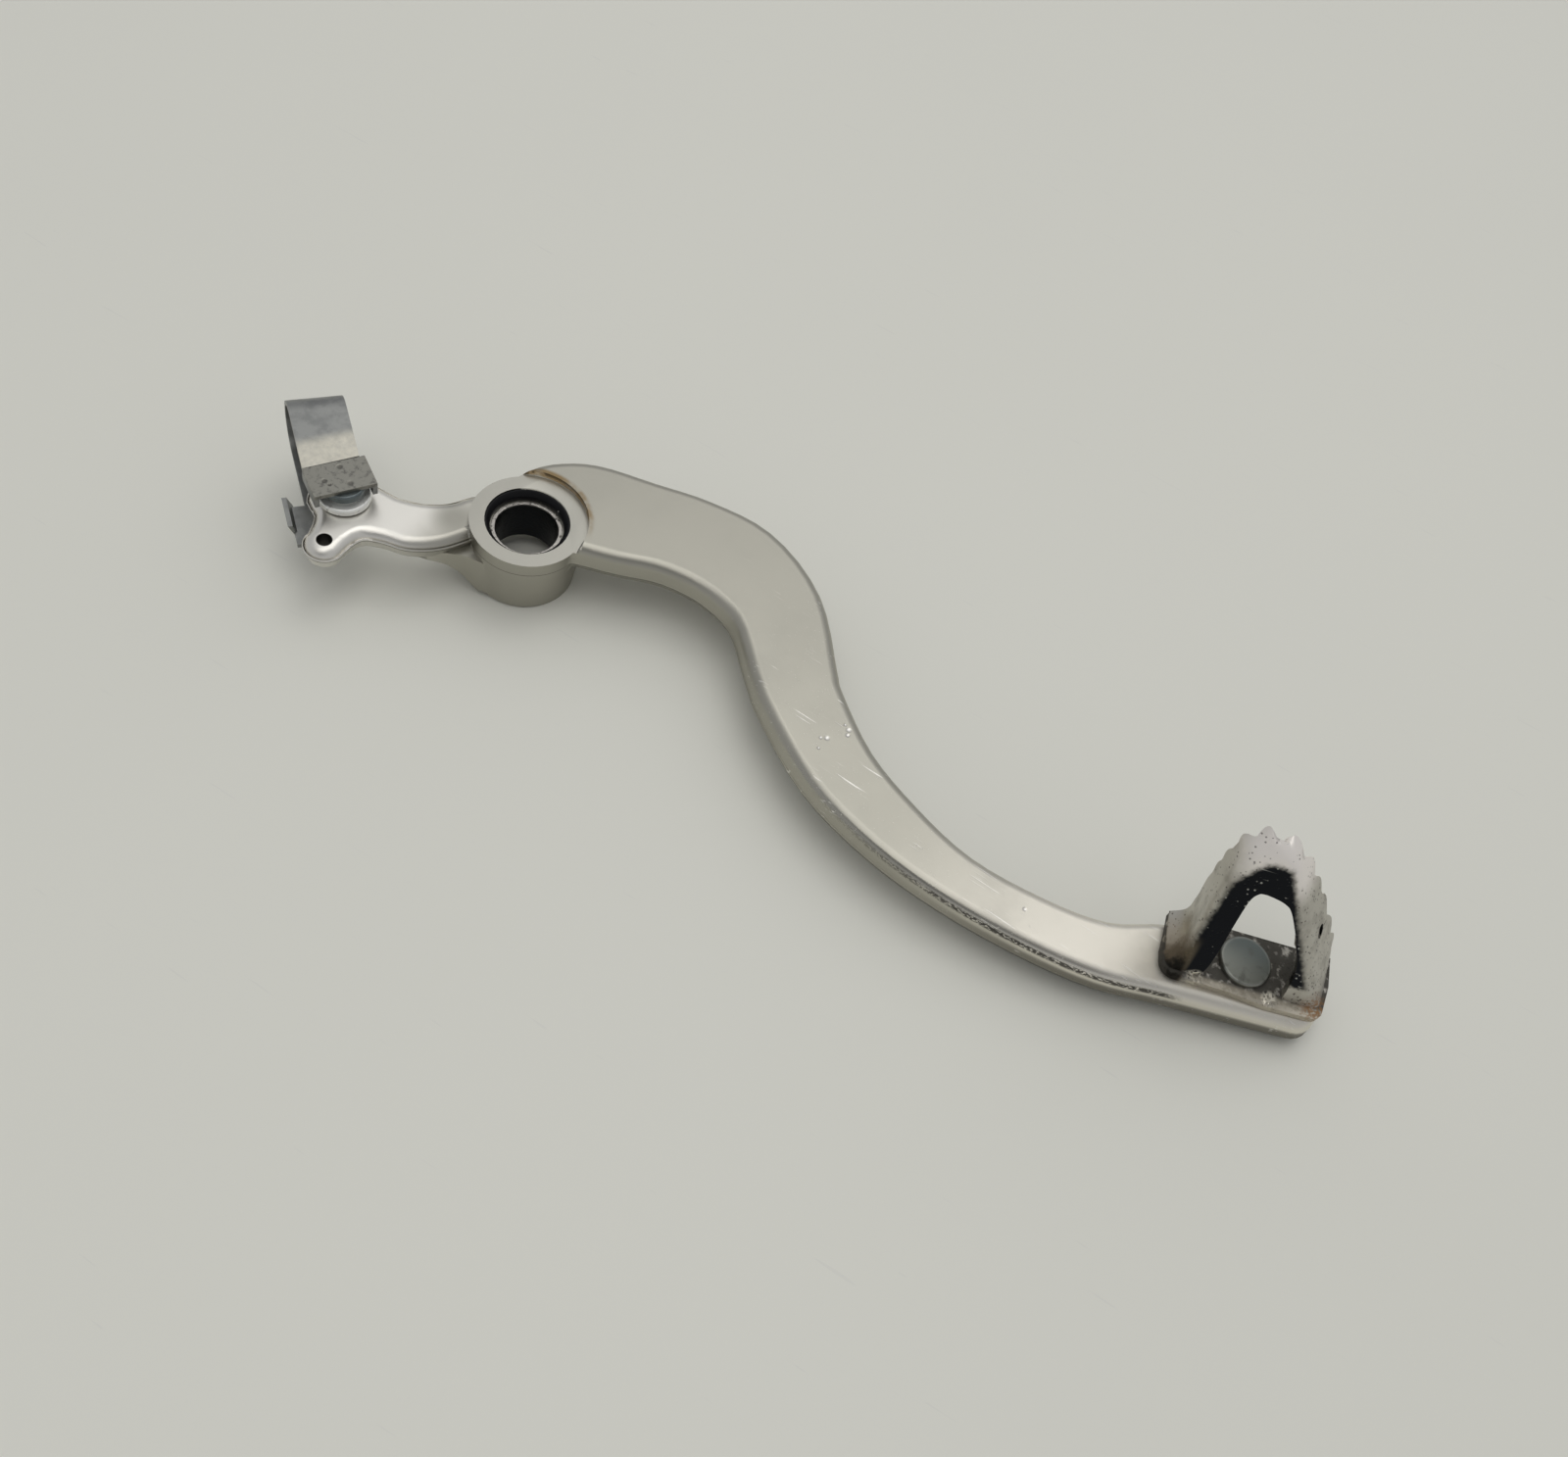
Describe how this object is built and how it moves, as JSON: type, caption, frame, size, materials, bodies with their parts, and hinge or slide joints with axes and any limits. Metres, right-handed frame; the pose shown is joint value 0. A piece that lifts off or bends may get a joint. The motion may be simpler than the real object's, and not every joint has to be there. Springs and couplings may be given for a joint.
{
  "type": "rear brake pedal",
  "caption": "Forged rear brake pedal with pivot boss, short rear lever, riveted toothed toe tip, clevis pin and folded spring clip.",
  "frame": {"origin": "middle of the pivot bore, halfway between the two end faces of the boss", "axes": "+Z along the pivot bore away from the machine, +X from the pivot towards the toe tip's rivet, +Y upward on the machine"},
  "size_m": [0.2977, 0.0817, 0.0646],
  "materials": {
    "forged_aluminium": "satin, blasted and lightly scratched",
    "bush_metal": "greasy with a bright worn end",
    "seal_rubber": "black, greasy",
    "toe_steel": "worn plated steel, rusty at one corner",
    "rivet_steel": "grey satin",
    "pin_zinc": "bright zinc",
    "clip_zinc": "galvanised, mottled"
  },
  "bodies": {
    "pedal": {"pedal_arm": "forged_aluminium", "pivot_bush": "bush_metal", "outer_seal": "seal_rubber", "inner_seal": "seal_rubber", "toe_tip": "toe_steel", "toe_rivet": "rivet_steel"},
    "clip": {"clevis_pin": "pin_zinc", "spring_clip": "clip_zinc"}
  },
  "joints": [
    {"name": "clip_swivel", "type": "hinge", "parent": "pedal", "child": "clip", "pos_m": [-0.03933, -0.02308, 0], "axis": [0, 0, 1], "range_deg": [-45, 15]}
  ]
}
